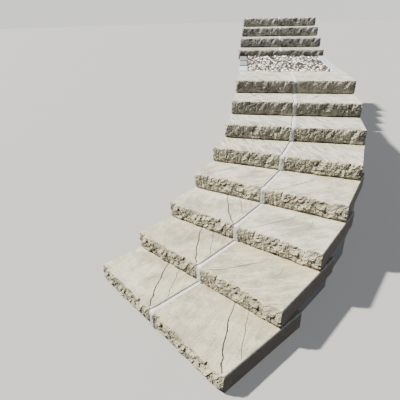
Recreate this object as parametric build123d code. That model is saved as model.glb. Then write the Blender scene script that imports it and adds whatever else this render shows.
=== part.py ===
from build123d import *
import os
import random

# A garden stair of cast-stone blocks, two blocks to a step. Millimetres, +Z up.
# The origin is the middle of the underside of the bottom step, and +Y is the
# direction in which the straight upper flight climbs.

# The blocks and their mortar
riser = 130
block_length = 590
block_depth = 640
joint_width = 30
bed_thickness = 8
joint_recess = 12
joint_setback = 15
bed_setback = 26
boss = 20
corner_bevel = 28
arris = 5

# The curved lower flight: how far it turns and how far it goes, step by step
lower_turns = [6, 6, 6, 7.5, 9, 3.5, 2]
lower_going = 380
last_lower_going = 413

# The gravel landing and the straight upper flight
landing_run = 1785
upper_shift = -81
upper_steps = 4
upper_going = 428

# The landing's kerbs and gravel
landing_rise = 60
landing_skew = -60
landing_drop = 4
kerb_width = 100
kerb_depth = 80
left_kerbs = 3
left_kerb_gap = 35
right_kerbs = 2
right_kerb_gap = 6
right_kerb_bow = 30
gravel_drop = 10

# The concrete under it all
foundation_inset = 30

lower_steps = len(lower_turns) + 1
half_width = block_length + joint_width / 2
block_height = riser - bed_thickness

os.makedirs("parts", exist_ok=True)


def save(shape, name):
    shape.label = name
    export_step(shape, "parts/" + name + ".step")


def step_frames():
    """The front of each step at its joint, level with its underside."""
    frames = []
    frame = Rot(0, 0, -sum(lower_turns)) * Pos(0, -block_depth / 2, 0)
    for number, turn in enumerate(lower_turns + [0]):
        frames.append(frame)
        going = lower_going
        if number == lower_steps - 2:
            going = last_lower_going
        if number < lower_steps - 1:
            frame = frame * Pos(0, going, riser) * Rot(0, 0, turn)
    frame = frame * Pos(upper_shift, landing_run, riser)
    for number in range(upper_steps):
        frames.append(frame)
        frame = frame * Pos(0, upper_going, riser)
    return frames


def polygon(points):
    return Face(Wire.make_polygon(points, close=True))


def rock_faced_mass(seed):
    """A slab split along its front into flat facets, a little larger than the block elsewhere."""
    chance = random.Random(seed)
    over = 5
    columns = [-over, corner_bevel]
    for share in (0.17, 0.33, 0.5, 0.67, 0.83):
        share += chance.uniform(-0.04, 0.04)
        columns.append(corner_bevel + share * (block_length - 2 * corner_bevel))
    columns += [block_length - corner_bevel, block_length + over]
    rows = [-over, 0.3 * block_height, 0.72 * block_height, block_height + over]
    grid = []
    for row, z in enumerate(rows):
        line = []
        for column, x in enumerate(columns):
            at_end = column in (0, len(columns) - 1)
            at_edge = row in (0, len(rows) - 1)
            at_arris = row == len(rows) - 1
            if at_end and not at_arris:
                y = chance.uniform(0.6, 0.9) * boss
            elif at_edge:
                y = chance.uniform(-0.1, 0.35) * boss
            else:
                y = chance.uniform(-1.0, -0.35) * boss
            line.append(Vector(x, y, z))
        grid.append(line)
    faces = []
    for row in range(len(rows) - 1):
        for column in range(len(columns) - 1):
            a = grid[row][column]
            b = grid[row][column + 1]
            c = grid[row + 1][column + 1]
            d = grid[row + 1][column]
            if (row + column) % 2:
                faces += [polygon([a, b, c]), polygon([a, c, d])]
            else:
                faces += [polygon([a, b, d]), polygon([b, c, d])]
    back = block_depth + over
    left_low = Vector(columns[0], back, rows[0])
    right_low = Vector(columns[-1], back, rows[0])
    left_high = Vector(columns[0], back, rows[-1])
    right_high = Vector(columns[-1], back, rows[-1])
    faces.append(polygon(grid[0] + [right_low, left_low]))
    faces.append(polygon(grid[-1] + [right_high, left_high]))
    faces.append(polygon([line[0] for line in grid] + [left_high, left_low]))
    faces.append(polygon([line[-1] for line in grid] + [right_high, right_low]))
    faces.append(polygon([left_low, right_low, right_high, left_high]))
    return Solid(Shell(faces))


def cast_block(seed):
    """One block out of its mould: smooth top, sides and back, and a rock-faced front."""
    low = Pos(0, -2 * boss, 0)
    corner = (Align.MIN, Align.MIN, Align.MIN)
    body = low * Box(block_length, block_depth + 2 * boss, block_height, align=corner)
    edges = body.edges().group_by(Axis.Z)[-1]
    side_edges = edges.filter_by(Axis.Y)
    back_edge = edges.filter_by(Axis.X).sort_by(Axis.Y)[-1]
    body = chamfer(list(side_edges) + [back_edge], arris)
    block = body & rock_faced_mass(seed)
    return block.solids()[0]


frames = step_frames()
moulds = [cast_block(seed) for seed in (3, 8, 21, 34)]
left_order = [0, 0, 0, 1, 2, 3, 2, 3, 3, 2, 3, 2]
right_order = [0, 1, 1, 1, 3, 2, 3, 2, 2, 3, 2, 3]

# The blocks, laid in pairs with the joint between them
envelopes = []
first_upper_blocks = []
for number, frame in enumerate(frames):
    name = "step_%02d" % (number + 1)
    lift = Pos(0, 0, bed_thickness)
    left = frame * lift * Pos(-half_width, 0, 0) * moulds[left_order[number % 12]]
    right = frame * lift * Pos(joint_width / 2, 0, 0) * moulds[right_order[number % 12]]
    save(left, name + "_left_block")
    save(right, name + "_right_block")
    if number == lower_steps:
        first_upper_blocks = [left, right]
    envelope = Pos(0, -2 * boss, 0) * Box(
        2 * half_width, block_depth + 2 * boss, riser, align=(Align.CENTER, Align.MIN, Align.MIN))
    envelopes.append(frame * envelope)

# The mortar of each step: the joint between the blocks and the bed under them
for number, frame in enumerate(frames):
    name = "step_%02d" % (number + 1)
    low = (Align.CENTER, Align.MIN, Align.MIN)
    joint = Box(joint_width, block_depth - joint_setback, riser - joint_recess, align=low)
    joint = Pos(0, joint_setback, 0) * joint
    bed = Box(2 * (half_width - bed_setback), block_depth - 2 * bed_setback, bed_thickness, align=low)
    bed = Pos(0, bed_setback, 0) * bed
    save(frame * (joint + bed), name + "_mortar")


def column(frame, run, width):
    """A concrete step under one pair of blocks, from the floor to their bed."""
    height = frame.position.Z
    foot = Pos(0, 0, -height) * frame
    shape = Box(width, run, height, align=(Align.CENTER, Align.MIN, Align.MIN))
    return foot * Pos(0, foundation_inset, 0) * shape


# The stepped concrete under the two flights
run = block_depth - foundation_inset
width = 2 * (half_width - foundation_inset)
lower = column(frames[1], run, width)
for number in range(2, lower_steps):
    lower += column(frames[number], run, width)
for number in range(lower_steps - 1):
    lower -= envelopes[number]
save(lower.solids().sort_by(SortBy.VOLUME)[-1], "lower_flight_foundation")

first_upper = lower_steps
upper = column(frames[first_upper], run, width)
for number in range(first_upper + 1, len(frames)):
    upper += column(frames[number], run, width)
for number in range(first_upper, len(frames) - 1):
    upper -= envelopes[number]
save(upper.solids().sort_by(SortBy.VOLUME)[-1], "upper_flight_foundation")

# The landing between them, on a concrete slab. It rises gently, and runs from the
# ends of the curved flight's top step towards the ends of the next step, a little aside.
# The kerbs on the right bend in halfway, and the gravel lies against them.
landing = frames[lower_steps - 1] * Pos(0, 0, riser)
start = block_depth
end = landing_run


def section(near, low_x, high_x, top, foot, bow):
    """An upright face across the landing at one distance from the step's front. Its top and its
    foot rise with the landing, but a foot on the floor stays level."""
    share = (near - start) / (end - start)
    bend = bow * (1 - abs(2 * share - 1))
    middle = (low_x + high_x) / 2 + share * landing_skew - bend
    rise = share * landing_rise
    high_z = top + rise
    low_z = floor if foot == floor else foot + rise
    face = Rectangle(high_x - low_x, high_z - low_z)
    return Plane((middle, near, (high_z + low_z) / 2), x_dir=(1, 0, 0), z_dir=(0, -1, 0)) * face


def landing_strip(near, far, low_x, high_x, top, foot, bow=0):
    sections = [section(y, low_x, high_x, top, foot, bow) for y in (near, far)]
    return landing * loft(sections, ruled=True)


def kerb_row(low_x, count, gap, bow, side):
    """Lengths of kerb laid end to end along one side of the landing."""
    room = end - start - 2 * boss
    length = (room - count * gap) / count
    kerbs = []
    for number in range(count):
        near = start + gap + number * (length + gap)
        kerb = landing_strip(near, near + length, low_x, low_x + kerb_width, kerb_top, slab_top, bow)
        top = kerb.faces().sort_by(Axis.Z)[-1]
        kerb = chamfer(top.edges(), arris)
        save(kerb, "landing_%s_kerb_%d" % (side, number + 1))
        kerbs.append(kerb)
    return kerbs


floor = -lower_steps * riser
kerb_top = -landing_drop
slab_top = kerb_top - kerb_depth
kerb_row(-half_width, left_kerbs, left_kerb_gap, 0, "left")
right_row = kerb_row(half_width - kerb_width, right_kerbs, right_kerb_gap, right_kerb_bow, "right")

gravel_half = half_width - kerb_width
gravel = landing_strip(start, end, -gravel_half, gravel_half, kerb_top - gravel_drop, slab_top)
for solid in first_upper_blocks + right_row:
    gravel -= solid
save(gravel.solids().sort_by(SortBy.VOLUME)[-1], "landing_gravel")

slab_half = half_width - foundation_inset
slab = landing_strip(start, end + foundation_inset, -slab_half, slab_half, slab_top, floor)
save(slab, "landing_foundation")
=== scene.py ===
import math
import random
from collections import namedtuple
import bpy
import numpy as np
from mathutils import Matrix, Vector, geometry, noise
from mathutils.bvhtree import BVHTree


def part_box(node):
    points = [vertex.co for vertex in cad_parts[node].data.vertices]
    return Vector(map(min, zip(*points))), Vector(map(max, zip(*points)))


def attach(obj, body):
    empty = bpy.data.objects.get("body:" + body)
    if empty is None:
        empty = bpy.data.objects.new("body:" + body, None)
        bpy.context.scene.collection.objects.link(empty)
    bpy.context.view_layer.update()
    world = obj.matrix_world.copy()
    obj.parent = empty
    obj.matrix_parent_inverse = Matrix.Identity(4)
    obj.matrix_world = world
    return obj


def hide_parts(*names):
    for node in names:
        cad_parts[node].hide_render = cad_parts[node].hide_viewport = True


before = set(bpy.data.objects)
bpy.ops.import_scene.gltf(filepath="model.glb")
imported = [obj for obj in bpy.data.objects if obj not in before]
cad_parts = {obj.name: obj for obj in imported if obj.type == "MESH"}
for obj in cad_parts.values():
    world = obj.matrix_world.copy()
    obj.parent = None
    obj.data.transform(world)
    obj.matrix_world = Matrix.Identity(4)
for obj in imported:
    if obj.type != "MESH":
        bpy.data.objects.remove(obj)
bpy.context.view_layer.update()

# The steps: twin blocks of cast stone, 590 by 640 by 122 mm, wet-cast in rubber moulds taken
# from split sandstone, so that the same fronts and the same fissures come back along the
# stair. Each pair lies on its step's bed, turned a little against the pair below.
riser = 0.130
bed = 0.008
length, depth, height = 0.590, 0.640, 0.122
joint = 0.030
turns = [6, 6, 6, 7.5, 9, 3.5, 2]
goings = [0.380] * 6 + [0.413]
landing_run, upper_shift = 1.785, -0.081
upper_steps, upper_going = 4, 0.428


def move(x=0.0, y=0.0, z=0.0, turn=0.0):
    """A place some metres away, turned by some degrees."""
    return Matrix.Translation((x, y, z)) @ Matrix.Rotation(math.radians(turn), 4, "Z")


# Where the front of each step is at its joint, level with its underside
steps = [move(turn=-sum(turns)) @ move(y=-depth / 2)]
for turn, going in zip(turns, goings):
    steps.append(steps[-1] @ move(y=going, z=riser) @ move(turn=turn))
steps.append(steps[-1] @ move(x=upper_shift, y=landing_run, z=riser))
for number in range(upper_steps - 1):
    steps.append(steps[-1] @ move(y=upper_going, z=riser))


def linear(code):
    """An sRGB hex colour as linear RGBA, by the standard curve."""
    values = [int(code[i:i + 2], 16) / 255 for i in (1, 3, 5)]
    return tuple(v / 12.92 if v <= 0.04045 else ((v + 0.055) / 1.055) ** 2.4 for v in values) + (1.0,)


def spaced(mm):
    """The scale of a pattern whose marks lie this many millimetres apart."""
    return 1000 / mm


def add(material, kind, links=None, **settings):
    """A shader node with its settings; links maps its sockets to values or to other nodes' outputs.
    A MapRange node takes a value, the two ends it comes from and the two ends it goes to. A Mix
    node takes a share at 0 and two colours at 6 and 7, and gives its colour at 2."""
    tree = material.node_tree
    made = tree.nodes.new(kind)
    for name, value in settings.items():
        setattr(made, name, value)
    for socket, value in (links or {}).items():
        if isinstance(value, bpy.types.NodeSocket):
            tree.links.new(value, made.inputs[socket])
        else:
            made.inputs[socket].default_value = value
    return made


def finish(name, roughness):
    """A new stone material with its own principled shader."""
    material = bpy.data.materials.new(name)
    material.use_nodes = True
    shader = material.node_tree.nodes["Principled BSDF"]
    shader.inputs["Roughness"].default_value = roughness
    shader.inputs["IOR"].default_value = 1.5
    return material, shader


def plug(material, output, shader, socket):
    """Joins a node's output to one of the shader's sockets."""
    material.node_tree.links.new(output, shader.inputs[socket])


# The smooth moulded stone of the treads is matt and warm grey. Weather has clouded it, each
# block in its own way: light and dark clouds, wide creamy ones and small dusty smudges.
smooth_stone, shader = finish("cast stone, smooth from the mould", 0.82)
place = add(smooth_stone, "ShaderNodeTexCoord").outputs["Object"]
chance = add(smooth_stone, "ShaderNodeObjectInfo").outputs["Random"]
own = add(smooth_stone, "ShaderNodeMath", {0: chance, 1: 40.0}, operation="MULTIPLY").outputs[0]
cloud = add(smooth_stone, "ShaderNodeTexNoise",
            {"Vector": place, "W": own, "Scale": spaced(200), "Detail": 5.0, "Roughness": 0.6,
             "Distortion": 0.4}, noise_dimensions="4D")
cloudy = add(smooth_stone, "ShaderNodeMapRange", {0: cloud.outputs[0], 1: 0.39, 2: 0.61})
base = add(smooth_stone, "ShaderNodeMix",
           {0: cloudy.outputs[0], 6: linear("#807F72"), 7: linear("#B2B0A3")}, data_type="RGBA")
haze = add(smooth_stone, "ShaderNodeTexNoise",
           {"Vector": place, "W": own, "Scale": spaced(333), "Detail": 2.0}, noise_dimensions="4D")
creamy = add(smooth_stone, "ShaderNodeMapRange", {0: haze.outputs[0], 1: 0.45, 2: 0.65, 3: 0.0, 4: 0.5})
cream = add(smooth_stone, "ShaderNodeMix",
            {0: creamy.outputs[0], 6: base.outputs[2], 7: linear("#AFAA99")}, data_type="RGBA")
smudge = add(smooth_stone, "ShaderNodeTexNoise",
             {"Vector": place, "W": own, "Scale": spaced(83), "Detail": 5.0, "Roughness": 0.65},
             noise_dimensions="4D")
smudged = add(smooth_stone, "ShaderNodeMapRange", {0: smudge.outputs[0], 1: 0.50, 2: 0.70, 3: 0.0, 4: 0.75})
grey = add(smooth_stone, "ShaderNodeMix",
           {0: smudged.outputs[0], 6: cream.outputs[2], 7: linear("#676963")}, data_type="RGBA")

# The faint veins of the sandstone it was moulded from, 200 mm long and 19 mm apart: light
# where they stand proud and dull where they are sunk. The mesh says which way they lie, and
# how strongly they show.
lay = add(smooth_stone, "ShaderNodeAttribute", attribute_name="lay").outputs["Vector"]
strength = add(smooth_stone, "ShaderNodeSeparateXYZ", {0: lay}).outputs["Z"]
stretched = add(smooth_stone, "ShaderNodeMapping",
                {"Vector": lay, "Scale": (spaced(200), spaced(19.2), 1.0)})
vein = add(smooth_stone, "ShaderNodeTexNoise",
           {"Vector": stretched.outputs[0], "Scale": 1.0, "Detail": 6.0, "Roughness": 0.68,
            "Distortion": 0.6}, noise_dimensions="2D")
proud = add(smooth_stone, "ShaderNodeMapRange", {0: vein.outputs[0], 1: 0.51, 2: 0.65})
veined = add(smooth_stone, "ShaderNodeMath", {0: proud.outputs[0], 1: strength}, operation="MULTIPLY")
light = add(smooth_stone, "ShaderNodeMix",
            {0: veined.outputs[0], 6: grey.outputs[2], 7: linear("#C4C2B7")}, data_type="RGBA")
sunk = add(smooth_stone, "ShaderNodeMapRange", {0: vein.outputs[0], 1: 0.36, 2: 0.50, 3: 0.85, 4: 0.0})
dulled = add(smooth_stone, "ShaderNodeMath", {0: sunk.outputs[0], 1: strength}, operation="MULTIPLY")
streaked = add(smooth_stone, "ShaderNodeMix",
               {0: dulled.outputs[0], 6: light.outputs[2], 7: linear("#7D7B70")}, data_type="RGBA")

# Ochre earth that rain washes against the next riser, from about 370 mm back, with a ragged
# edge. A block without a riser behind it has none.
parts = add(smooth_stone, "ShaderNodeSeparateXYZ", {0: place})
washed = add(smooth_stone, "ShaderNodeMath", {0: smudge.outputs[0], 1: 0.12, 2: parts.outputs["Y"]},
             operation="MULTIPLY_ADD")
earth = add(smooth_stone, "ShaderNodeAttribute", attribute_type="OBJECT", attribute_name="earth")
earthy = add(smooth_stone, "ShaderNodeMapRange",
             {0: washed.outputs[0], 1: 0.37, 2: 0.46, 3: 0.0, 4: earth.outputs["Fac"]})
warm = add(smooth_stone, "ShaderNodeMix",
           {0: earthy.outputs[0], 6: streaked.outputs[2], 7: linear("#9B9272")}, data_type="RGBA")

# Its sand: dark specks and a pale and dark grain, both drawn coarser than real sand, 8 to
# 11 mm, so that they show. Then the colour that its batch of mix gives the whole block.
speck = add(smooth_stone, "ShaderNodeTexNoise",
            {"Vector": place, "Scale": spaced(7.7), "Detail": 4.0, "Roughness": 0.7})
dark = add(smooth_stone, "ShaderNodeMapRange", {0: speck.outputs[0], 1: 0.34, 2: 0.48, 3: 0.7, 4: 0.0})
tint = add(smooth_stone, "ShaderNodeMix",
           {0: dark.outputs[0], 6: warm.outputs[2], 7: linear("#5B594F")}, data_type="RGBA")
grain = add(smooth_stone, "ShaderNodeTexNoise",
            {"Vector": place, "Scale": spaced(11.1), "Detail": 6.0, "Roughness": 0.8})
sandy = add(smooth_stone, "ShaderNodeMapRange", {0: grain.outputs[0], 1: 0.36, 2: 0.64, 3: 0.84, 4: 1.16})
sanded = add(smooth_stone, "ShaderNodeVectorMath", {0: tint.outputs[2], "Scale": sandy.outputs[0]},
             operation="SCALE")
batch = add(smooth_stone, "ShaderNodeObjectInfo").outputs["Color"]
toned = add(smooth_stone, "ShaderNodeMix", {0: 1.0, 6: sanded.outputs[0], 7: batch},
           data_type="RGBA", blend_type="MULTIPLY")
plug(smooth_stone, toned.outputs[2], shader, "Base Color")
rough = add(smooth_stone, "ShaderNodeMath", {0: speck.outputs[0], 1: vein.outputs[0]}, operation="ADD")
bump = add(smooth_stone, "ShaderNodeBump", {"Height": rough.outputs[0], "Strength": 0.5, "Distance": 0.003})
plug(smooth_stone, bump.outputs[0], shader, "Normal")

# The split fronts are rough and quite matt: cream where they stand proud, grey-brown in the
# hollows, which the mesh marks with dirt and painted shade, and patchy. Weather and painted light
# have toned each step's fronts in its own way and made their hollows stronger or weaker. Their
# grain is drawn coarser than real sand.
even_soil_and_shade = 0.36
split_stone, shader = finish("cast stone, rock-faced", 0.92)
place = add(split_stone, "ShaderNodeTexCoord").outputs["Object"]
chance = add(split_stone, "ShaderNodeObjectInfo").outputs["Random"]
grain = add(split_stone, "ShaderNodeTexNoise",
            {"Vector": place, "Scale": spaced(7.7), "Detail": 5.0, "Roughness": 0.85})
grained = add(split_stone, "ShaderNodeMath", {0: grain.outputs[0], 1: 1.15, 2: -0.575},
              operation="MULTIPLY_ADD")
patch = add(split_stone, "ShaderNodeTexNoise",
            {"Vector": place, "W": chance, "Scale": spaced(77), "Detail": 3.0}, noise_dimensions="4D")
patched = add(split_stone, "ShaderNodeMath", {0: patch.outputs[0], 1: 1.8, 2: -0.88},
              operation="MULTIPLY_ADD")
ground = add(split_stone, "ShaderNodeMath", {0: grained.outputs[0], 1: patched.outputs[0]}, operation="ADD")
soil_and_shade = add(split_stone, "ShaderNodeAttribute", attribute_name="soil_and_shade").outputs["Fac"]
contrast = add(split_stone, "ShaderNodeAttribute", attribute_type="OBJECT", attribute_name="contrast")
# The mesh's share of dirt and painted shade, scaled about its even level by the step's contrast
centred = add(split_stone, "ShaderNodeMath", {0: soil_and_shade, 1: even_soil_and_shade}, operation="SUBTRACT")
marked = add(split_stone, "ShaderNodeMath",
             {0: centred.outputs[0], 1: contrast.outputs["Fac"], 2: even_soil_and_shade}, operation="MULTIPLY_ADD")
darkened = add(split_stone, "ShaderNodeMath", {0: ground.outputs[0], 1: marked.outputs[0]},
             operation="ADD", use_clamp=True)
tint = add(split_stone, "ShaderNodeMix",
           {0: darkened.outputs[0], 6: linear("#CAC6B8"), 7: linear("#534D4A")}, data_type="RGBA")
weather_and_light_tone = add(split_stone, "ShaderNodeAttribute", attribute_type="OBJECT", attribute_name="front_tone_and_light")
toned = add(split_stone, "ShaderNodeMix", {0: 1.0, 6: tint.outputs[2], 7: weather_and_light_tone.outputs["Color"]},
           data_type="RGBA", blend_type="MULTIPLY")
plug(split_stone, toned.outputs[2], shader, "Base Color")
bump = add(split_stone, "ShaderNodeBump", {"Height": grain.outputs[0], "Strength": 1.0, "Distance": 0.006})
plug(split_stone, bump.outputs[0], shader, "Normal")

# The sides and backs lay against the soil, which has stained them a blotchy brown, up to a
# clean arris at the top. Their brown is also darkened as painted shade.
stained_and_shaded_stone, shader = finish("cast stone, stained by soil and painted shade", 0.95)
place = add(stained_and_shaded_stone, "ShaderNodeTexCoord").outputs["Object"]
parts = add(stained_and_shaded_stone, "ShaderNodeSeparateXYZ", {0: place})
blotch = add(stained_and_shaded_stone, "ShaderNodeTexNoise",
             {"Vector": place, "Scale": spaced(38.5), "Detail": 6.0, "Roughness": 0.65})
line = add(stained_and_shaded_stone, "ShaderNodeMath", {0: blotch.outputs[0], 1: 0.030, 2: parts.outputs["Z"]},
           operation="MULTIPLY_ADD")
clean = add(stained_and_shaded_stone, "ShaderNodeMapRange", {0: line.outputs[0], 1: 0.118, 2: 0.138})
# The soil's brown, darkened as painted shade
soil = add(stained_and_shaded_stone, "ShaderNodeMix",
           {0: blotch.outputs[0], 6: linear("#4B4035"), 7: linear("#7D705F")}, data_type="RGBA")
tint = add(stained_and_shaded_stone, "ShaderNodeMix",
           {0: clean.outputs[0], 6: soil.outputs[2], 7: linear("#9A978E")}, data_type="RGBA")
plug(stained_and_shaded_stone, tint.outputs[2], shader, "Base Color")
bump = add(stained_and_shaded_stone, "ShaderNodeBump", {"Height": blotch.outputs[0], "Strength": 0.6, "Distance": 0.004})
plug(stained_and_shaded_stone, bump.outputs[0], shader, "Normal")

# Earth fills the fissures, so that they show as dark hairlines
fissure_earth, shader = finish("earth washed into the fissures", 0.95)
shader.inputs["Base Color"].default_value = linear("#2C2820")

# A layer of flat facets on a split face: how long, wide and deep they are, in metres, the slope
# of the gentle and of the steep ones, and how far their lean varies, in degrees
Facets = namedtuple("Facets", "long wide deep gentle steep turn")

# How a front is split, soiled and shaded: its layers of facets, how deep its pits are, how much of
# the CAD block's own facets stands out at the top, its slope, and how many faces its mesh has
# across and up. Then how much darker the hollows of the small facets and the pits are, by dirt and
# painted shade, and how much paler the facets that face up are painted, as a painted highlight.
Cut = namedtuple("Cut", "broad small pit_depth bulge slope net soiling pit_soil cleaned")
coarse_cut = Cut(broad=[Facets(0.070, 0.042, 0.0050, -0.12, 0.34, 35)],
                 small=[Facets(0.032, 0.019, 0.0034, -0.11, 0.34, 30),
                        Facets(0.011, 0.0075, 0.0016, -0.05, 0.26, 50)],
                 pit_depth=0.009, bulge=0.44, slope=0.0, net=(280, 58),
                 soiling=0.08, pit_soil=100, cleaned=0.10)
flat_cut = Cut(broad=[Facets(0.082, 0.038, 0.0024, -0.08, 0.25, 24)],
               small=[Facets(0.024, 0.016, 0.0019, -0.10, 0.28, 38),
                      Facets(0.012, 0.0080, 0.0013, -0.04, 0.22, 50)],
               pit_depth=0.008, bulge=0.30, slope=-0.02, net=(220, 46),
               soiling=0.13, pit_soil=180, cleaned=0.24)

# The moulds: the seed of the front, its cut, how strong the veins of the top are and which way
# they lie, in degrees, and its fissures. Each has a width and a path from the block's left
# front corner, in mm. The last two moulds have the fronts of the two before them.
Mould = namedtuple("Mould", "seed cut vein lay fissures")
moulds = [
    Mould(3, coarse_cut, 0.35, 108, [
        (9.5, [(585, -5), (560, 18), (526, 42), (509, 76), (474, 105), (450, 134), (423, 177),
               (398, 216), (376, 240), (352, 268), (336, 296), (311, 347), (285, 392), (250, 430)]),
        (4.5, [(573, 146), (534, 184), (506, 224), (475, 278), (434, 325), (419, 356), (390, 398),
               (369, 425)])]),
    Mould(8, coarse_cut, 0.45, 51, [
        (6.0, [(60, 14), (84, 30), (106, 50), (130, 82), (152, 118), (174, 148), (186, 176),
               (206, 204), (224, 234), (246, 256), (264, 288), (271, 322), (268, 350)]),
        (3.5, [(292, 38), (300, 56), (318, 66)]),
        (3.5, [(396, 345), (400, 312), (410, 285), (414, 262), (404, 232), (394, 208)]),
        (3.5, [(530, 18), (545, 30), (560, 42), (578, 52)])]),
    Mould(21, flat_cut, 1.15, 123, [
        (3.0, [(150, 300), (215, 352), (262, 376)]),
        (3.5, [(398, 215), (420, 180), (446, 137)])]),
    Mould(34, flat_cut, 1.15, 123, []),
    Mould(21, flat_cut, 1.15, 123, [
        (10.0, [(128, 150), (150, 178), (168, 200), (192, 242), (212, 284), (224, 318), (230, 345)])]),
    Mould(34, flat_cut, 1.15, 123, [
        (10.0, [(130, 140), (152, 170), (172, 200), (196, 240), (214, 284), (226, 318), (234, 350)])]),
]


def front_of(node, seat):
    """A function that gives how far back the CAD block's front is at a point of its face. At the
    block's corners, foot and arris it keeps to the front next to them."""
    corner, foot, arris = 0.026, 0.001, 0.006
    well_before = -0.2
    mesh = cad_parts[node].data
    inverse = seat.inverted()
    corners = [inverse @ v.co for v in mesh.vertices]
    tree = BVHTree.FromPolygons(corners, [p.vertices for p in mesh.polygons])

    def back(x, z):
        x = min(max(x, corner), length - corner)
        z = min(max(z, foot), height - arris)
        return tree.ray_cast(Vector((x, well_before, z)), Vector((0, 1, 0)))[0].y
    return back


def splits(x, z, layers, seed):
    """How deep the split face lies at the points of its net, in metres, and how far it faces up.
    Each layer has flat facets of one size that lean to the right: narrow steep ones that face up
    to the left, and broader ones between them that face a little down."""
    steep_share, overlap, usual_lean = 0.42, 1.5, 52
    narrower, broader = 0.75, 1.1
    slope_spread, rise_spread = 0.05, 0.0012
    rng = np.random.default_rng(seed)
    depths, upward = np.zeros_like(x), np.zeros_like(x)
    for long, wide, deep, gentle, steep, turn in layers:
        count = int(overlap * length * height / (long * wide))
        left, foot = rng.uniform(0, length, count), rng.uniform(0, height, count)
        is_steep = rng.random(count) < steep_share
        reach = wide * np.where(is_steep, narrower, broader)
        fall = np.where(is_steep, steep, gentle) + rng.normal(0, slope_spread, count)
        rise = rng.normal(0, rise_spread / long, count)
        offset = rng.uniform(-0.5, 0.5, count) * deep
        lean = np.radians(rng.normal(usual_lean, turn, count))
        for row in range(len(x)):
            from_left = x[row][:, None] - left
            from_foot = z[row][:, None] - foot
            along = from_left * np.cos(lean) + from_foot * np.sin(lean)
            aside = from_foot * np.cos(lean) - from_left * np.sin(lean)
            nearest = np.argmin((along / long) ** 2 + (aside / reach) ** 2, axis=1)
            here = np.arange(len(nearest))
            depths[row] += offset[nearest] + along[here, nearest] * rise[nearest]
            depths[row] += aside[here, nearest] * fall[nearest]
            upward[row] += is_steep[nearest]
    return depths - depths.mean(), upward - upward.mean()


def chips(x, z, seed):
    """How deep the flakes struck off the top arris go: small wedges, and a large one now and then."""
    flakes, depth_struck = 22, 0.0040
    chance = random.Random(seed + 100)
    depths = np.zeros_like(x)
    below = height - z
    for flake in range(flakes):
        middle = length * (flake + chance.uniform(-0.3, 1.3)) / flakes
        size = chance.choice((0.5, 0.7, 0.9, 1.0, 1.3))
        half = chance.uniform(0.010, 0.020) * size
        reach = chance.uniform(0.007, 0.016) * size
        slant = chance.uniform(0.1, 0.8)
        aside = np.abs(x - slant * below - middle) / half
        cut = depth_struck * size * np.clip(2.2 * (1 - aside), 0, 1) * np.clip(1 - below / reach, 0, 1)
        depths = np.maximum(depths, cut)
    return depths


def sampled(measure, x, z):
    """What a function of x and z gives at each point of a net."""
    return np.array([[measure(*spot) for spot in zip(*row)] for row in zip(x, z)])


def split_face(mould, back_at):
    """The net of points of a rock-faced front, and how soiled and how shaded it is painted at each point."""
    worn_edge = 0.004
    cut, seed = mould.cut, mould.seed
    across, rows = cut.net
    z = np.repeat(np.linspace(0, height, rows + 1)[:, None], across + 1, axis=1)
    inset = np.maximum(0.0, z - height + worn_edge)
    x = inset + (length - 2 * inset) * np.linspace(0, 1, across + 1)[None, :]

    # How near each point is to the arris, the foot and the two corners
    up = np.clip(1 - (height - z) / 0.007, 0, 1)
    down = np.clip(1 - z / 0.015, 0, 1)
    edge = np.minimum(x, length - x)
    inward = np.clip(edge / 0.03, 0, 1)

    # The block's own facets, fainter at the foot, what is split off them, pits 10 to 13 mm
    # across and a fine relief
    plane = sampled(back_at, x, z)
    plane = plane.mean() + (plane - plane.mean()) * (0.06 + cut.bulge * (z / height) ** 2)
    plane += cut.slope * (z - height / 2)
    broad, upward = splits(x, z, cut.broad, seed)
    small, facing_up = splits(x, z, cut.small, seed + 50)
    pits = sampled(lambda a, b: noise.noise(Vector((a * 75, b * 95, seed + 0.5))) - 0.33, x, z)
    pits = cut.pit_depth * np.maximum(0.0, pits)
    fine = sampled(lambda a, b: noise.fractal(Vector((a, b, seed)) * 75, 0.7, 2.1, 4), x, z) * 0.0018
    struck = chips(x, z, seed) * (0.6 + 0.4 * inward)
    relief = broad + small + pits
    y = plane + relief * (0.8 + 0.2 * inward) * (1 - 0.75 * up - 0.6 * down) - fine + struck

    # The arris is ragged, and the corners are broken off unevenly
    ragged = np.array([noise.noise(Vector((across_at * 95, seed, 8.0))) for across_at in x[rows]]) * 0.003
    y += up * (0.002 + ragged[None, :]) * inward + 0.004 * down
    broken = sampled(lambda a, b: noise.noise(Vector((a * 40, b * 55, seed + 3.0))), x, z)
    y += (0.008 + 0.010 * broken) * np.clip(1 - edge / 0.028, 0, 1) ** 1.5

    # Dirt and painted shade darken the hollows and the pits, and painted shade darkens the foot. The
    # arris gets a painted highlight, its flakes are paler as fresh stone, and the facets that face up
    # get a painted highlight.
    shade = even_soil_and_shade + cut.soiling * small / small.std() + 0.1 * broad / broad.std() + cut.pit_soil * pits
    # A painted highlight on the facets that face up
    shade -= cut.cleaned * (upward + 0.15 * facing_up)
    # Painted shade along the foot, paler flakes, and a painted highlight along the arris
    shade = np.clip(shade + 0.35 * down - 25 * struck - 0.3 * up, 0, 0.9)
    return x, y, z, shade


# Blender's noise vectors differ from run to run unless they are seeded
noise.seed_set(1)


def fissure_line(path, seed, rim_at):
    """A fissure's path in metres, a little unsteady, as far as it is clear of the top's edges."""
    corners = [Vector((x / 1000, y / 1000)) for x, y in path]
    spots = []
    for a, b in zip(corners, corners[1:]):
        for quarter in range(4):
            spot = a.lerp(b, quarter / 4)
            wobble = noise.noise_vector(Vector((spot.x * 60, spot.y * 60, seed)))
            spots.append(spot + Vector((wobble.x, wobble.y)) * 0.0035)
    return [p for p in spots if p.y > rim_at(p.x) + 0.008 and 0.012 < p.x < length - 0.012]


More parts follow.
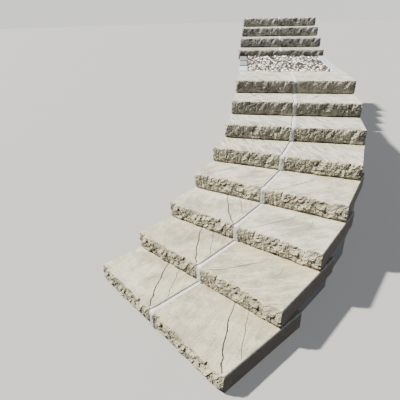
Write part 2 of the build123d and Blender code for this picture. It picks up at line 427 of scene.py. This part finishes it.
def fissured_top(mould, rim, rim_at):
    """The top inside its rim, slightly uneven, with three lines of points for each fissure, the
    middle one sunk. Gives its points, faces, where each point comes from, how far each of those
    is sunk, and which of them have earth."""
    seed, ring = mould.seed, len(rim)
    rng = random.Random(seed)
    points, drops = list(rim), [0.0] * ring
    edges = [(i, (i + 1) % ring) for i in range(ring)]
    earthy, lines = set(), []
    for width, path in mould.fissures:
        line = fissure_line(path, seed, rim_at)
        lines.append(line)
        count, first = len(line), len(points)
        for i, spot in enumerate(line):
            ahead = line[min(i + 1, count - 1)] - line[max(i - 1, 0)]
            side = Vector((-ahead.y, ahead.x)).normalized()
            narrow = 0.3 + 0.7 * math.sin(math.pi * min(1.0, 0.2 + 0.8 * (i + 0.6) / count)) ** 0.5
            half = width / 2000 * narrow * (0.8 + 0.5 * noise.noise(Vector((i * 0.9, seed, 2.0))))
            points += [spot + side * half, spot, spot - side * half]
            drops += [0.0, -0.005 * narrow, 0.0]
            if i:
                now, before = first + 3 * i, first + 3 * (i - 1)
                edges += [(before + k, now + k) for k in range(3)]
                earthy.update(range(before, now + 3))
    columns, rows = 23, 27
    for i in range(1, columns):
        for j in range(1, rows):
            spot = Vector((length * i / columns + rng.uniform(-0.005, 0.005),
                           0.01 + (depth - 0.01) * j / rows))
            clear = all((spot - p).length > 0.007 for line in lines for p in line)
            if clear and spot.y > rim_at(spot.x) + 0.012:
                points.append(spot)
                drops.append(0.0006 * noise.noise(Vector((spot.x * 12, spot.y * 12, seed))))
    made = geometry.delaunay_2d_cdt(points, edges, [list(range(ring))], 1, 1e-6)
    sources = [origin[0] if origin else -1 for origin in made[3]]
    return made[0], made[2], sources, drops, earthy


def block_mesh(number, back_at):
    """One cast: rings of points from the bed up, closed by a flat foot and a fissured top."""
    on_top, on_front, in_fissure, on_side = range(4)
    mould = moulds[number]
    across, rows = mould.cut.net
    x, y, z, shade = split_face(mould, back_at)
    verts, faces, kinds, soil_and_shade_values = [], [], [], []
    for i in range(rows + 1):
        inset = x[i, 0]
        verts += zip(x[i], y[i], z[i])
        verts += [(length - inset, depth - inset, z[i, 0]), (inset, depth - inset, z[i, 0])]
        soil_and_shade_values += list(shade[i]) + [0.0, 0.0]
    ring = across + 3
    for row in range(rows):
        for column in range(ring):
            a = row * ring + column
            b = row * ring + (column + 1) % ring
            faces.append((a, b, b + ring, a + ring))
            kinds.append(on_front if column < across else on_side)
    faces.append(tuple(reversed(range(ring))))
    kinds.append(on_top)

    def rim_at(across_at):
        return max(np.interp(across_at + aside, x[rows], y[rows]) for aside in (-0.006, 0.0, 0.006))

    rim = [rows * ring + i for i in range(ring)]
    rim_spots = [Vector(verts[i][:2]) for i in rim]
    spots, top_faces, sources, drops, earthy = fissured_top(mould, rim_spots, rim_at)
    index = []
    for spot, source in zip(spots, sources):
        if 0 <= source < ring:
            index.append(rim[source])
        else:
            index.append(len(verts))
            verts.append((spot.x, spot.y, height + (drops[source] if source >= 0 else 0.0)))
            soil_and_shade_values.append(0.0)
    for face in top_faces:
        faces.append(tuple(index[i] for i in face))
        kinds.append(in_fissure if all(sources[i] in earthy for i in face) else on_top)
    mesh = bpy.data.meshes.new("mould_%d" % (number + 1))
    mesh.from_pydata(verts, [], faces)
    for material in (smooth_stone, split_stone, fissure_earth, stained_and_shaded_stone):
        mesh.materials.append(material)
    mesh.polygons.foreach_set("material_index", kinds)
    mesh.attributes.new("soil_and_shade", "FLOAT", "POINT").data.foreach_set("value", soil_and_shade_values)
    turned = Matrix.Rotation(math.radians(-mould.lay), 2)
    laid = [turned @ Vector(v[:2]) for v in verts]
    mesh.attributes.new("lay", "FLOAT_VECTOR", "POINT").data.foreach_set(
        "vector", [c for v in laid for c in (v.x, v.y, mould.vein)])
    mesh.validate()
    return mesh


# The blocks, step by step from the foot of the stair: which mould the left and the right one
# came from, the colours of their batches, the tone of the step's fronts, weathering and painted
# light together, and their contrast
# The fronts' tones hold painted light along with weathering, set for the light that falls on each step
blocks = [
    (0, 0, "#F9F5E9", "#EEE9DE", "#CFCDB9", 1.0),
    (0, 1, "#F8F3E9", "#FAF3E7", "#D1CDBD", 1.0),
    (0, 1, "#FDFCF6", "#FFFFFA", "#E3DED1", 1.0),
    (1, 1, "#F8F7F4", "#F8F7F4", "#E1DCCF", 1.0),
    (2, 3, "#F4F4F2", "#F4F4F2", "#D9D6CA", 1.0),
    (3, 2, "#F8FBFC", "#F8FBFC", "#E2DFD7", 1.0),
    (4, 5, "#F8FBFC", "#F8FBFC", "#C5C2BD", 0.75),
    (5, 2, "#FFFFFF", "#FFFFFF", "#CFCBC7", 0.6),
    (3, 2, "#DCDDDC", "#DCDDDC", "#C9C5C4", 0.6),
    (2, 3, "#DCDDDC", "#DCDDDC", "#D3D1DD", 1.9),
    (3, 2, "#DCDDDC", "#DCDDDC", "#DDDDE6", 1.9),
    (2, 3, "#DCDDDC", "#DCDDDC", "#E2E2E9", 1.9),
]
no_riser_behind = (7, 11)
washed_earth = 0.38
casts = {}
for number, step in enumerate(steps):
    left_mould, right_mould, left_batch, right_batch, front_tone_and_light, contrast = blocks[number]
    for side, mould, batch, x in (("left", left_mould, left_batch, -length - joint / 2),
                                  ("right", right_mould, right_batch, joint / 2)):
        node = "step_%02d_%s_block" % (number + 1, side)
        seat = step @ move(x=x, z=bed)
        if mould not in casts:
            casts[mould] = block_mesh(mould, front_of(node, seat))
        block = bpy.data.objects.new(node + "_cast", casts[mould])
        bpy.context.scene.collection.objects.link(block)
        block.matrix_world = seat
        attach(block, "root")
        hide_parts(node)
        block.color = linear(batch)
        block["front_tone_and_light"] = linear(front_tone_and_light)[:3]
        block["contrast"] = contrast
        block["earth"] = 0.0 if number in no_riser_behind else washed_earth

# The mortar: each pair is bedded on cement mortar that stays back from the front, and the
# joint between the two blocks is filled by hand with pale mortar, dished towards its left side
# and smeared a little over the front corners.

# Trowelled mortar is pale, cool and matt, with a faint 17 mm mottle. Where it comes down the
# front it takes a darker tone set for each step.
trowelled_mortar, shader = finish("cement mortar, pointed by trowel", 0.9)
place = add(trowelled_mortar, "ShaderNodeTexCoord").outputs["Object"]
mottle = add(trowelled_mortar, "ShaderNodeTexNoise",
             {"Vector": place, "Scale": spaced(16.7), "Detail": 5.0, "Roughness": 0.6})
tint = add(trowelled_mortar, "ShaderNodeMix",
           {0: mottle.outputs[0], 6: linear("#969797"), 7: linear("#B8B9BA")}, data_type="RGBA")
parts = add(trowelled_mortar, "ShaderNodeSeparateXYZ", {0: place})
smeared = add(trowelled_mortar, "ShaderNodeMapRange",
              {0: parts.outputs["Z"], 1: 0.119, 2: 0.112, 3: 0.0, 4: 0.85})
darkened = add(trowelled_mortar, "ShaderNodeObjectInfo").outputs["Color"]
dull = add(trowelled_mortar, "ShaderNodeMix", {0: smeared.outputs[0], 6: tint.outputs[2], 7: darkened},
           data_type="RGBA")
plug(trowelled_mortar, dull.outputs[2], shader, "Base Color")
bump = add(trowelled_mortar, "ShaderNodeBump",
           {"Height": mottle.outputs[0], "Strength": 0.5, "Distance": 0.003})
plug(trowelled_mortar, bump.outputs[0], shader, "Normal")

# The bed under the blocks is painted darker as shade, a thin shadowy line
bed_mortar, shader = finish("cement mortar, under the blocks", 0.95)
shader.inputs["Base Color"].default_value = linear("#6F6A60")


def pointing_mesh(seed):
    """A ribbon of mortar that runs forward along the joint, turns over the arris and comes down the
    front, smeared over the corners of both blocks."""
    pace, lanes = 0.006, 10
    arris_z = riser - 0.013
    # From the back to the front a little below the blocks' tops, and then down the front
    path = [(depth - pace * i, riser - 0.0115) for i in range(int(depth / pace) - 4)]
    path += [(0.010, riser - 0.012), (0.000, arris_z), (-0.008, riser - 0.018)]
    path += [(-0.012, riser - 0.022 - pace * i) for i in range(1, 18)]
    verts, faces = [], []
    for y, z in path:
        on_front = z < arris_z
        nearing = max(0.0, 1 - y / 0.05)
        half = joint / 2 + 0.0004
        if on_front:
            spread = 0.009 + 0.007 * noise.noise(Vector((z * 34, seed, 1.0))) + 0.006 * max(0.0, 1 - z / 0.02)
            half += max(0.002, spread)
        for lane in range(lanes + 1):
            share = lane / lanes
            x = -half + 2 * half * share
            lump = noise.noise(Vector((x * 70, (y + z) * 50, seed)))
            if on_front:
                thin = (2 * share - 1) ** 6
                verts.append((x, y + 0.014 * thin + 0.0035 * lump, z))
            else:
                filled = min(1.0, share / 0.28) ** 1.5
                filled += (1 - filled) * 0.8 * nearing
                verts.append((x, y, z + 0.0100 * filled + 0.0012 * lump * filled))
    for i in range(len(path) - 1):
        for lane in range(lanes):
            a = i * (lanes + 1) + lane
            faces.append((a, a + 1, a + lanes + 2, a + lanes + 1))
    mesh = bpy.data.meshes.new("pointing_%d" % seed)
    mesh.from_pydata(verts, [], faces)
    mesh.materials.append(trowelled_mortar)
    mesh.polygons.foreach_set("use_smooth", [True] * len(faces))
    return mesh


# The darker tone of the mortar down each step's front
smear_tones = ["#88867E", "#92908A", "#918F89", "#87857F", "#95938E", "#999792", "#8B8681"] + ["#6A6560"] * 5
for number, step in enumerate(steps):
    node = "step_%02d_mortar" % (number + 1)
    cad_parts[node].data.materials.clear()
    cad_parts[node].data.materials.append(bed_mortar)
    pointing = bpy.data.objects.new("step_%02d_pointing" % (number + 1), pointing_mesh(number + 1))
    bpy.context.scene.collection.objects.link(pointing)
    pointing.matrix_world = step
    pointing.color = linear(smear_tones[number])
    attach(pointing, "root")

# The concrete the stair lies on: three pours against sawn boards, struck and left rough,
# stepped under the blocks and a little narrower than they are.

# Mass concrete is dull grey. It keeps the print of the boards, 145 mm wide with a grain 11 mm
# apart, and its tone changes from board to board.
board = 0.145
board_concrete, shader = finish("mass concrete, board-marked", 0.88)
place = add(board_concrete, "ShaderNodeTexCoord").outputs["Object"]
parts = add(board_concrete, "ShaderNodeSeparateXYZ", {0: place})
course = add(board_concrete, "ShaderNodeMath", {0: parts.outputs["Z"], 1: 1 / board}, operation="MULTIPLY")
own = add(board_concrete, "ShaderNodeMath", {0: course.outputs[0]}, operation="FLOOR").outputs[0]
along = add(board_concrete, "ShaderNodeMath", {0: course.outputs[0], 1: own}, operation="SUBTRACT")
seam = add(board_concrete, "ShaderNodeMath", {0: along.outputs[0], 1: 0.035}, operation="LESS_THAN")
stretched = add(board_concrete, "ShaderNodeMapping",
                {"Vector": place, "Scale": (spaced(333), spaced(333), spaced(11.1))})
wood = add(board_concrete, "ShaderNodeTexNoise",
           {"Vector": stretched.outputs[0], "W": own, "Scale": 1.0, "Detail": 4.0},
           noise_dimensions="4D")
patch = add(board_concrete, "ShaderNodeTexNoise",
            {"Vector": place, "W": own, "Scale": spaced(588), "Detail": 5.0}, noise_dimensions="4D")
tone = add(board_concrete, "ShaderNodeMix",
           {0: patch.outputs[0], 6: linear("#5D5A56"), 7: linear("#7C7A75")}, data_type="RGBA")
plug(board_concrete, tone.outputs[2], shader, "Base Color")
level = add(board_concrete, "ShaderNodeMath", {0: seam.outputs[0], 1: 1.2, 2: wood.outputs[0]},
            operation="MULTIPLY_ADD")
bump = add(board_concrete, "ShaderNodeBump", {"Height": level.outputs[0], "Strength": 0.5, "Distance": 0.003})
plug(board_concrete, bump.outputs[0], shader, "Normal")
for node in ("lower_flight_foundation", "landing_foundation", "upper_flight_foundation"):
    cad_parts[node].data.materials.clear()
    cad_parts[node].data.materials.append(board_concrete)

# The landing's kerbs: pressed concrete edging in lengths laid end to end. On the left they
# stand a little apart, and soil from the gaps has washed over their ends.

# Pressed concrete is smooth and bluish grey, clouded by stains about 70 mm apart. The sand in
# it is drawn coarser than it is, 4 mm. Each length has a dark tone, a light tone and a share
# of soil on its ends.
kerb_looks = {
    "landing_left_kerb_1": ("#9A9FA9", "#9EA3AA", 0.9),
    # The second and third lengths on the left have painted shade in both tones, the shade of plants beside
    # the landing
    "landing_left_kerb_2": ("#616561", "#797E7E", 0.9),
    "landing_left_kerb_3": ("#575959", "#686C6B", 0.9),
    "landing_right_kerb_1": ("#8A92A0", "#999DA6", 0.0),
    "landing_right_kerb_2": ("#848B99", "#9196A0", 0.0),
}
soil_reach = 0.024
for node, (dark_tone, light_tone, soil_share) in kerb_looks.items():
    kerb_concrete, shader = finish("pressed concrete, " + node, 0.8)
    place = add(kerb_concrete, "ShaderNodeTexCoord").outputs["Object"]
    sand = add(kerb_concrete, "ShaderNodeTexNoise", {"Vector": place, "Scale": spaced(4.17), "Detail": 3.0})
    stain = add(kerb_concrete, "ShaderNodeTexNoise", {"Vector": place, "Scale": spaced(71.4), "Detail": 4.0})
    clean = add(kerb_concrete, "ShaderNodeMix",
                {0: stain.outputs[0], 6: linear(dark_tone), 7: linear(light_tone)}, data_type="RGBA")
    near_end, far_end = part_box(node)[0].y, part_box(node)[1].y
    along = add(kerb_concrete, "ShaderNodeSeparateXYZ", {0: place}).outputs["Y"]
    aside = add(kerb_concrete, "ShaderNodeMath", {0: along, 1: (near_end + far_end) / 2},
                operation="SUBTRACT")
    away = add(kerb_concrete, "ShaderNodeMath", {0: aside.outputs[0]}, operation="ABSOLUTE")
    half = (far_end - near_end) / 2
    washed = add(kerb_concrete, "ShaderNodeMapRange",
                 {0: away.outputs[0], 1: half - soil_reach, 2: half - 0.4 * soil_reach,
                  3: 0.0, 4: soil_share})
    tint = add(kerb_concrete, "ShaderNodeMix",
               {0: washed.outputs[0], 6: clean.outputs[2], 7: linear("#2E2A25")}, data_type="RGBA")
    plug(kerb_concrete, tint.outputs[2], shader, "Base Color")
    bump = add(kerb_concrete, "ShaderNodeBump",
               {"Height": sand.outputs[0], "Strength": 0.35, "Distance": 0.002})
    plug(kerb_concrete, bump.outputs[0], shader, "Normal")
    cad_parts[node].data.materials.clear()
    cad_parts[node].data.materials.append(kerb_concrete)

# The landing's gravel: river pebbles of 15 to 45 mm, white, cream, grey and brown, raked level
# with the kerbs and lying up against the next step. A few have rolled on to the step below.
landing_rise = 0.060
landing_skew = -0.060
gravel_drop = 0.014
kerb_width = 0.100
kerb_bow = 0.030
half_gravel = length + joint / 2 - kerb_width
landing = steps[7] @ move(z=riser)

# Tumbling has left the pebbles smooth, with a slight sheen. Each has one tone, from near black
# to white, the darkest standing for dark stones and for painted shade between the pebbles, and
# some of the lots are rusty; a 17 mm mottle keeps them from looking painted.
pebble_stone, shader = finish("river pebbles, tumbled", 0.6)
shade = add(pebble_stone, "ShaderNodeAttribute", attribute_name="shade").outputs["Fac"]
ramp = add(pebble_stone, "ShaderNodeValToRGB", {0: shade})
ramp.color_ramp.interpolation = "LINEAR"
# The darkest tones are dark stones and painted shade between the pebbles
tones = [(0.0, "#191818"), (0.12, "#303237"), (0.25, "#4E4943"), (0.38, "#706357"), (0.5, "#857D72"),
         (0.65, "#AA9F8D"), (0.82, "#CDC8BE"), (1.0, "#F6F7F9")]
for element, (position, code) in zip(ramp.color_ramp.elements, (tones[0], tones[-1])):
    element.position, element.color = position, linear(code)
for position, code in tones[1:-1]:
    ramp.color_ramp.elements.new(position).color = linear(code)
lot = add(pebble_stone, "ShaderNodeTexWhiteNoise", {"W": shade}, noise_dimensions="1D").outputs["Value"]
rusty = add(pebble_stone, "ShaderNodeMapRange", {0: lot, 1: 0.55, 2: 1.0, 3: 0.0, 4: 0.8})
rusted = add(pebble_stone, "ShaderNodeMix",
             {0: rusty.outputs[0], 6: ramp.outputs[0], 7: linear("#D3B792")},
             data_type="RGBA", blend_type="MULTIPLY")
place = add(pebble_stone, "ShaderNodeTexCoord").outputs["Object"]
mottle = add(pebble_stone, "ShaderNodeTexNoise", {"Vector": place, "Scale": spaced(16.67), "Detail": 3.0})
tint = add(pebble_stone, "ShaderNodeMix", {0: 0.18, 6: rusted.outputs[2], 7: mottle.outputs[1]},
           data_type="RGBA", blend_type="SOFT_LIGHT")
plug(pebble_stone, tint.outputs[2], shader, "Base Color")

bpy.ops.mesh.primitive_ico_sphere_add(subdivisions=2, radius=1.0)
ball = bpy.context.object
ball_verts = np.array([v.co for v in ball.data.vertices])
ball_faces = np.array([p.vertices for p in ball.data.polygons])
bpy.data.objects.remove(ball)
rng = random.Random(11)
pebble_verts, pebble_faces, pebble_shades = [], [], []


def drop_pebble(x, y, z, size):
    """Adds one pebble, flattened, turned and slightly lumpy, mostly either pale or dark."""
    half = Vector((size * rng.uniform(0.8, 1.25), size * rng.uniform(0.65, 1.0),
                   size * rng.uniform(0.45, 0.7))) / 2
    turned = Matrix.Rotation(rng.uniform(0, math.pi), 3, "Z") @ Matrix.Rotation(rng.gauss(0, 0.35), 3, "X")
    seed = rng.uniform(0, 90)
    start = sum(len(v) for v in pebble_verts)
    lumps = np.array([1 + 0.16 * noise.noise(Vector(v) * 1.1 + Vector((seed, 0, 0))) for v in ball_verts])
    shape = ball_verts * lumps[:, None] * np.array(half)
    pebble_verts.append(shape @ np.array(turned).T + np.array(landing @ Vector((x, y, z))))
    pebble_faces.append(ball_faces + start)
    pebble_shades.extend([min(1.0, max(0.0, rng.betavariate(0.56, 0.36)))] * len(ball_verts))


# Two layers, laid in staggered rows about 10 mm clear of the kerbs and then jostled: how low
# each lies, what share of its places it fills, and the sizes of its smallest and its largest
# pebbles. They heap up a little before the next step.
spacing = 0.029
row_pace = spacing * 0.87
heap_height, heap_share = 0.014, 0.12
for low, filled, smallest, largest in ((0.016, 0.6, 0.020, 0.030), (0.006, 0.92, 0.017, 0.037)):
    for row in range(int((landing_run - depth - 0.012) / row_pace)):
        y = depth + 0.008 + row * row_pace
        share = (y - depth) / (landing_run - depth)
        x = share * landing_skew - half_gravel + 0.012 + 0.5 * spacing * (row % 2)
        bend = kerb_bow * (1 - abs(2 * share - 1))
        heap = heap_height * max(0.0, 1 - (1 - share) / heap_share)
        while x < share * landing_skew + half_gravel - 0.010 - bend:
            if rng.random() < filled:
                size = rng.uniform(smallest, largest)
                z = share * landing_rise - gravel_drop - low + heap + rng.uniform(-0.012, 0.012)
                drop_pebble(x + rng.uniform(-0.012, 0.012), y + rng.uniform(-0.010, 0.010), z, size)
            x += spacing
strays, stray_reach = 26, 0.03
for number in range(strays):
    drop_pebble(rng.uniform(-half_gravel, half_gravel), depth - rng.uniform(0.0, stray_reach), 0.007,
                rng.uniform(0.022, 0.036))
mesh = bpy.data.meshes.new("pebbles")
mesh.from_pydata(np.concatenate(pebble_verts).tolist(), [], np.concatenate(pebble_faces).tolist())
mesh.materials.append(pebble_stone)
mesh.polygons.foreach_set("use_smooth", [True] * len(mesh.polygons))
mesh.attributes.new("shade", "FLOAT", "POINT").data.foreach_set("value", pebble_shades)
pebbles = bpy.data.objects.new("landing_pebbles", mesh)
bpy.context.scene.collection.objects.link(pebbles)
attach(pebbles, "root")

# Dark fines show between the pebbles, near black with painted shade in the gaps
fines_and_painted_shade, shader = finish("gravel fines and painted shade between the pebbles", 0.95)
shader.inputs["Base Color"].default_value = linear("#211E1B")
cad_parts["landing_gravel"].data.materials.clear()
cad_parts["landing_gravel"].data.materials.append(fines_and_painted_shade)

# The setting: a pale floor with a pale backdrop all round, a soft sun from the left, nearly in
# line with the straight fronts, a weak fill light from the right, a weak sky, and the camera
# at eye level at the foot of the stair.
stage_radius, backdrop_height = 60, 40
floor_paint, shader = finish("pale floor", 0.9)
shader.inputs["Base Color"].default_value = linear("#7A7A79")
shader.inputs["Emission Color"].default_value = linear("#DCDAD6")
shader.inputs["Emission Strength"].default_value = 0.24
bpy.ops.mesh.primitive_circle_add(vertices=96, radius=stage_radius, fill_type="NGON")
floor = bpy.context.object
floor.name = "floor"
floor.data.materials.append(floor_paint)
floor.visible_diffuse = False
backdrop_paint, shader = finish("pale backdrop", 1.0)
shader.inputs["Base Color"].default_value = (0, 0, 0, 1)
shader.inputs["Emission Color"].default_value = linear("#DCDCD8")
shader.inputs["Emission Strength"].default_value = 1.5
bpy.ops.mesh.primitive_cylinder_add(vertices=96, radius=stage_radius, depth=backdrop_height,
                                    end_fill_type="NOTHING", location=(0, 0, backdrop_height / 2))
backdrop = bpy.context.object
backdrop.name = "backdrop"
backdrop.data.materials.append(backdrop_paint)
for ray in ("diffuse", "glossy", "shadow", "transmission"):
    setattr(backdrop, "visible_" + ray, False)

sun = bpy.data.objects.new("sun", bpy.data.lights.new("sun", "SUN"))
sun.data.energy = 19.8
sun.data.angle = math.radians(3)
sun.data.color = (1.0, 0.96, 0.86)
sun_height, sun_turn = math.radians(48), math.radians(0.5)
toward_sun = Vector((-math.cos(sun_turn) * math.cos(sun_height),
                     -math.sin(sun_turn) * math.cos(sun_height), math.sin(sun_height)))
sun.rotation_euler = toward_sun.to_track_quat("Z", "Y").to_euler()
bpy.context.scene.collection.objects.link(sun)

fill = bpy.data.objects.new("fill", bpy.data.lights.new("fill", "SUN"))
fill.data.energy = 1.0
fill.data.angle = math.radians(30)
toward_fill = Vector((0.98, 0.1, 0.15))
fill.rotation_euler = toward_fill.to_track_quat("Z", "Y").to_euler()
bpy.context.scene.collection.objects.link(fill)

world = bpy.data.worlds.new("sky")
bpy.context.scene.world = world
world.use_nodes = True
sky = world.node_tree.nodes["Background"]
sky.inputs["Color"].default_value = linear("#ACC8F2")
sky.inputs["Strength"].default_value = 0.30

camera = bpy.data.objects.new("camera", bpy.data.cameras.new("camera"))
camera.data.lens = 32.75
camera.data.sensor_width = 36
pitch, roll, heading = math.radians(27.51), math.radians(-1.39), math.radians(9.36)
forward = Vector((0, math.cos(pitch), -math.sin(pitch)))
right = Vector((1, 0, 0))
up = right.cross(forward)
leaned_right = math.cos(roll) * right + math.sin(roll) * up
leaned_up = -math.sin(roll) * right + math.cos(roll) * up
facing = Matrix((leaned_right, leaned_up, -forward)).transposed()
camera.matrix_world = (Matrix.Translation((0.3541, -1.7927, 1.7032))
                       @ (Matrix.Rotation(heading, 3, "Z") @ facing).to_4x4())
bpy.context.scene.collection.objects.link(camera)
bpy.context.scene.camera = camera
